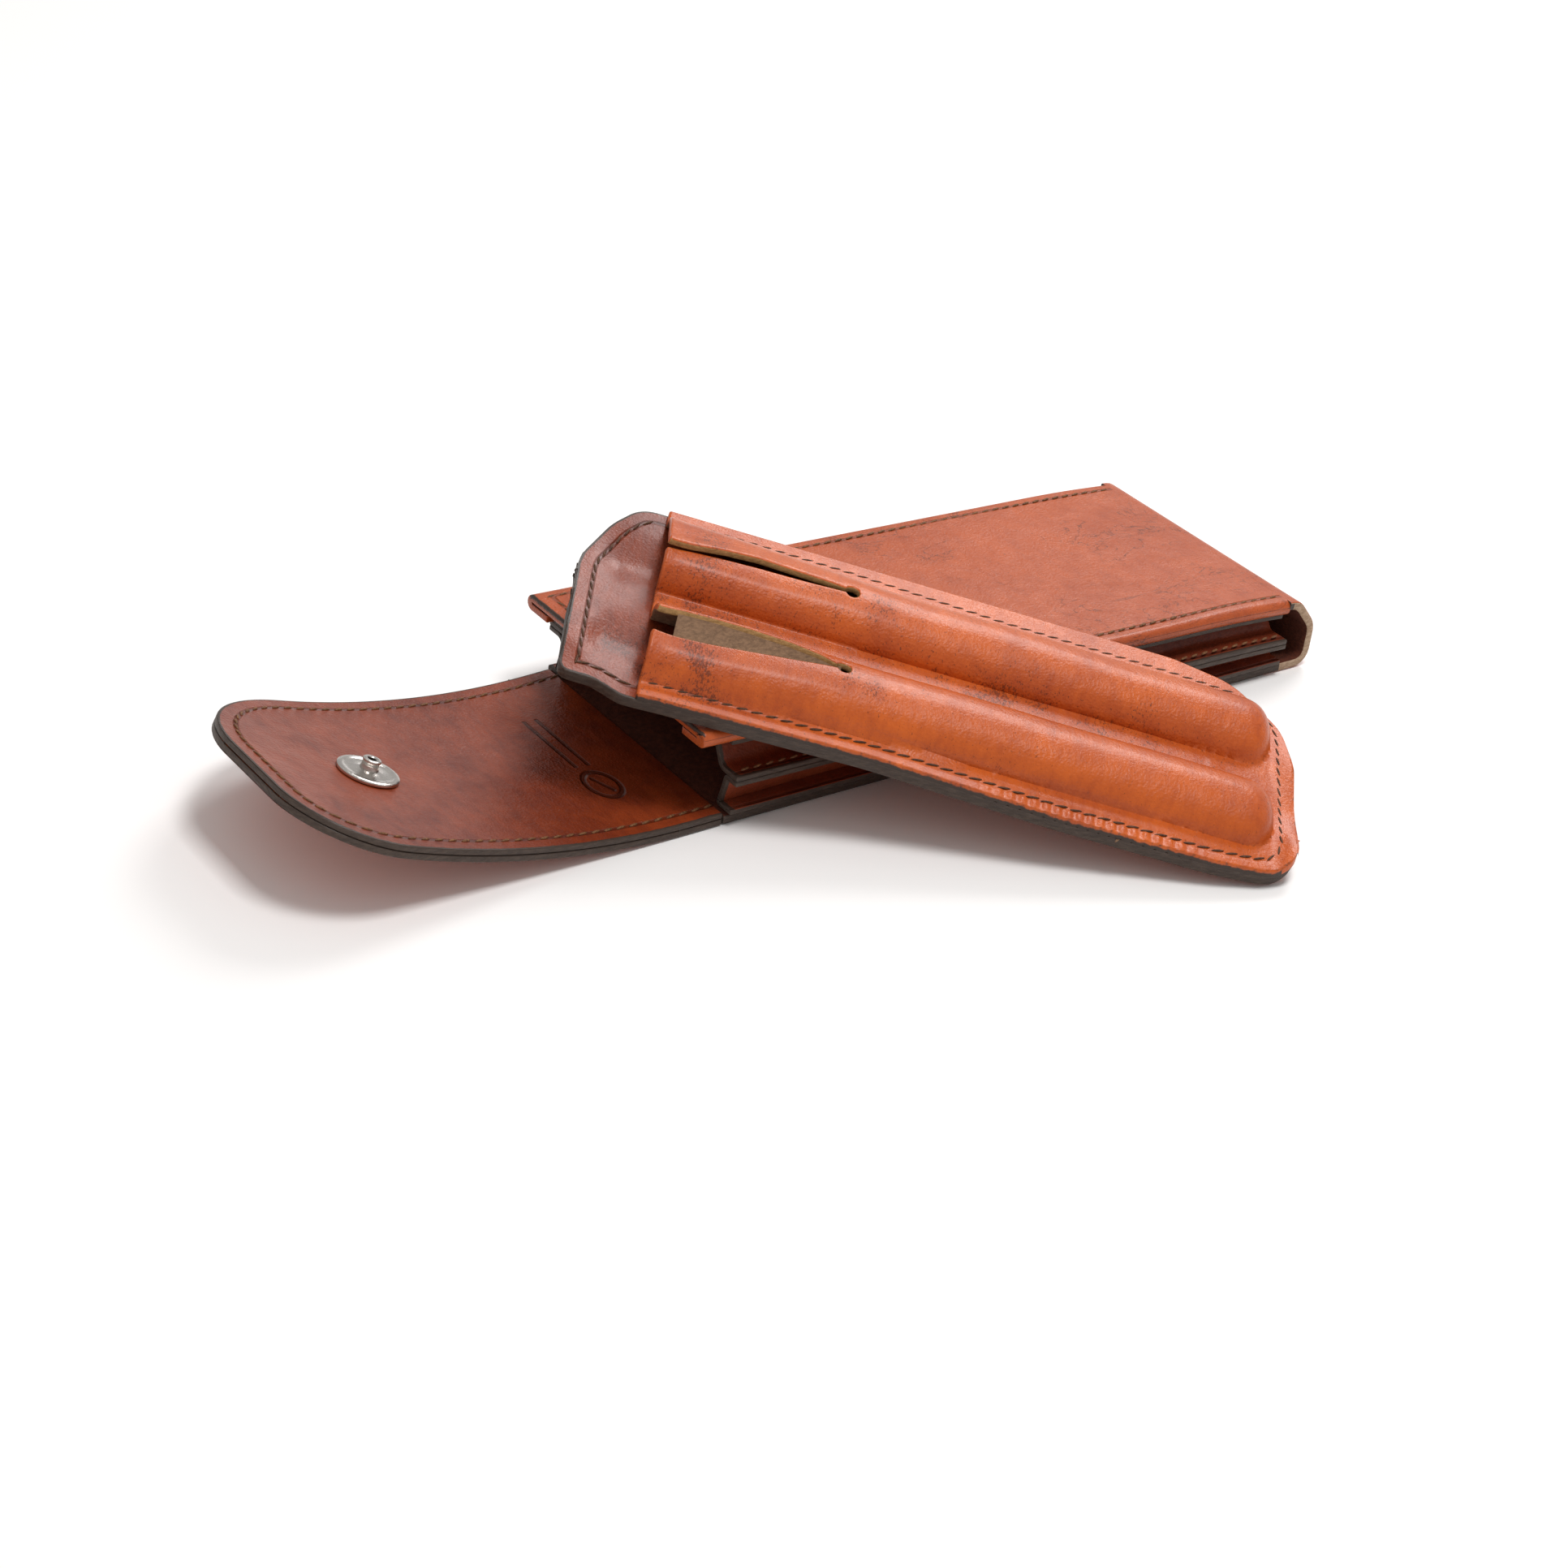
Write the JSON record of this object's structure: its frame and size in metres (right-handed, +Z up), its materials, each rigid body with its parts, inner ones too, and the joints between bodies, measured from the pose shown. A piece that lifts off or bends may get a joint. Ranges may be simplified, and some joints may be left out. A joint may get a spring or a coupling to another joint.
{
  "type": "fountain pen case",
  "caption": "Leather sleeve with a two-fold flap and a magnetic snap, and a separate moulded pen holder with slit tubes and a pull tab lying across it.",
  "frame": {"origin": "centre of the sleeve's bottom face, on the surface that the case lies on", "axes": "+X along the sleeve from its mouth to its closed end, +Y from the near to the far side, +Z up"},
  "size_m": [0.2565, 0.1368, 0.0448],
  "materials": {
    "shell_leather": "satin",
    "lining_leather": "satin",
    "holder_leather": "polished",
    "thread": "matt",
    "nickel": "polished",
    "magnet": "satin"
  },
  "bodies": {
    "sleeve": {"sleeve_shell": "shell_leather", "near_gusset_upper": "shell_leather", "near_gusset_lower": "shell_leather", "far_gusset_upper": "shell_leather", "far_gusset_lower": "shell_leather", "near_flange_thread": "thread", "far_flange_thread": "thread", "near_foot_thread": "thread", "far_foot_thread": "thread", "top_panel_thread": "thread", "snap_socket_cap": "nickel", "snap_socket_magnet": "magnet", "snap_socket_base": "nickel", "snap_socket_washer": "nickel", "snap_socket_patch": "lining_leather"},
    "flap_spine": {"flap_spine_leather": "shell_leather", "flap_spine_lining": "lining_leather", "flap_spine_thread": "thread"},
    "flap_lid": {"flap_lid_leather": "shell_leather", "flap_lid_lining": "lining_leather", "flap_lid_thread": "thread", "snap_stud_washer": "nickel", "snap_stud_disc": "nickel", "snap_stud_post": "nickel"},
    "holder": {"holder_back_outer": "holder_leather", "holder_back_lining": "lining_leather", "holder_front": "holder_leather", "holder_border_thread": "thread", "holder_tab_thread": "thread"}
  },
  "joints": [
    {"name": "holder_lift", "type": "slide", "parent": "sleeve", "child": "holder", "axis": [0, 0, 1], "range_m": [0, 0.2]},
    {"name": "flap_base_fold", "type": "hinge", "parent": "sleeve", "child": "flap_spine", "pos_m": [-0.08, 0, 0.003], "axis": [0, 1, 0], "range_deg": [0, 63.9]},
    {"name": "flap_top_fold", "type": "hinge", "parent": "flap_spine", "child": "flap_lid", "pos_m": [-0.10176, 0, 0.00368], "axis": [0, 1, 0], "range_deg": [0, 100.4]}
  ],
  "couplings": [
    {"joint": "flap_base_fold", "follows": "holder_lift", "rad_per_m": 5.5763},
    {"joint": "flap_top_fold", "follows": "holder_lift", "rad_per_m": 8.7616}
  ]
}
